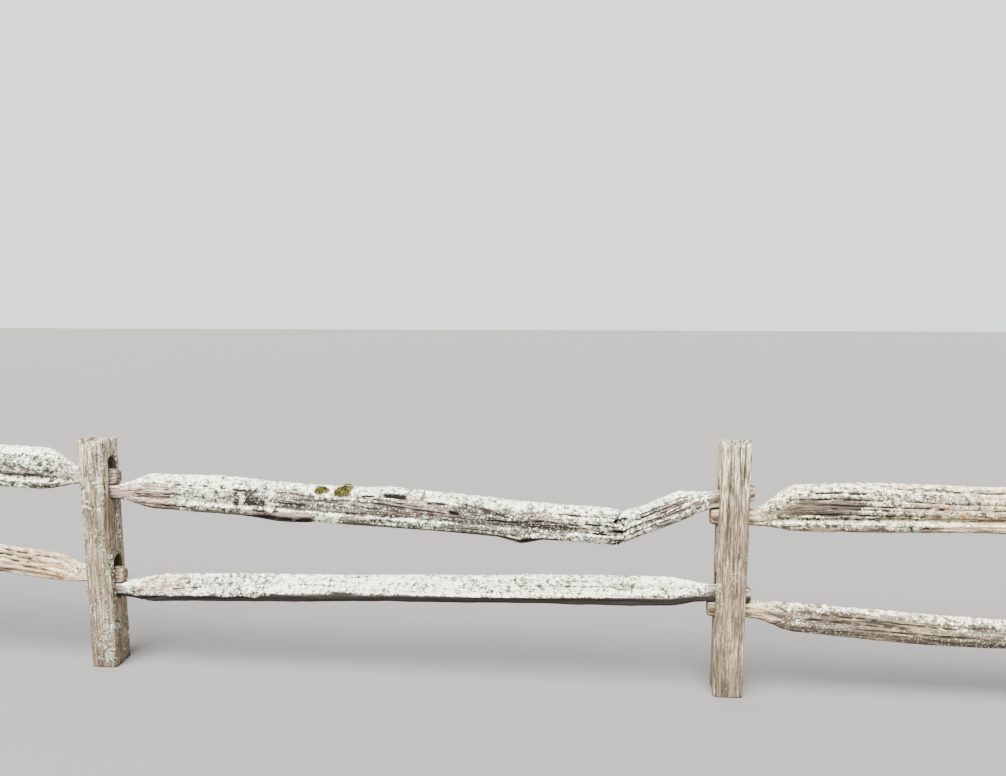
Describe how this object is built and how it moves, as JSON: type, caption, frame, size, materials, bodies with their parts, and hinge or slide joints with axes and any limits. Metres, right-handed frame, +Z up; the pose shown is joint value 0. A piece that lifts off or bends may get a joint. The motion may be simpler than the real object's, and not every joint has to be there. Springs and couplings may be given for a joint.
{
  "type": "split rail fence",
  "caption": "Weathered split rail fence: hewn posts with through mortises carry two split rails a bay, their ends stacked in each mortise; one top rail is broken.",
  "frame": {"origin": "middle of the foot of post 3, the middle post, on its flat face", "axes": "+X along the fence from post 1 to post 5, +Y away from its front, +Z up"},
  "size_m": [11.992, 0.1667, 1.3145],
  "materials": {
    "post_wood": "split, weathered silver-cream, vertical grain",
    "lichened_rail": "split, weathered, crusted with pale lichen",
    "bare_rail": "split, weathered brown-grey, spotted with lichen"
  },
  "bodies": {
    "root": {"post_1": "post_wood", "post_2": "post_wood", "post_3": "post_wood", "post_4": "post_wood", "post_5": "post_wood", "bay_1_top_rail": "lichened_rail", "bay_1_bottom_rail": "bare_rail", "bay_2_top_rail": "lichened_rail", "bay_2_top_rail_stub": "lichened_rail", "bay_2_bottom_rail": "lichened_rail", "bay_3_top_rail": "lichened_rail", "bay_3_bottom_rail": "bare_rail", "bay_4_top_rail": "lichened_rail", "bay_4_bottom_rail": "bare_rail"}
  },
  "joints": []
}
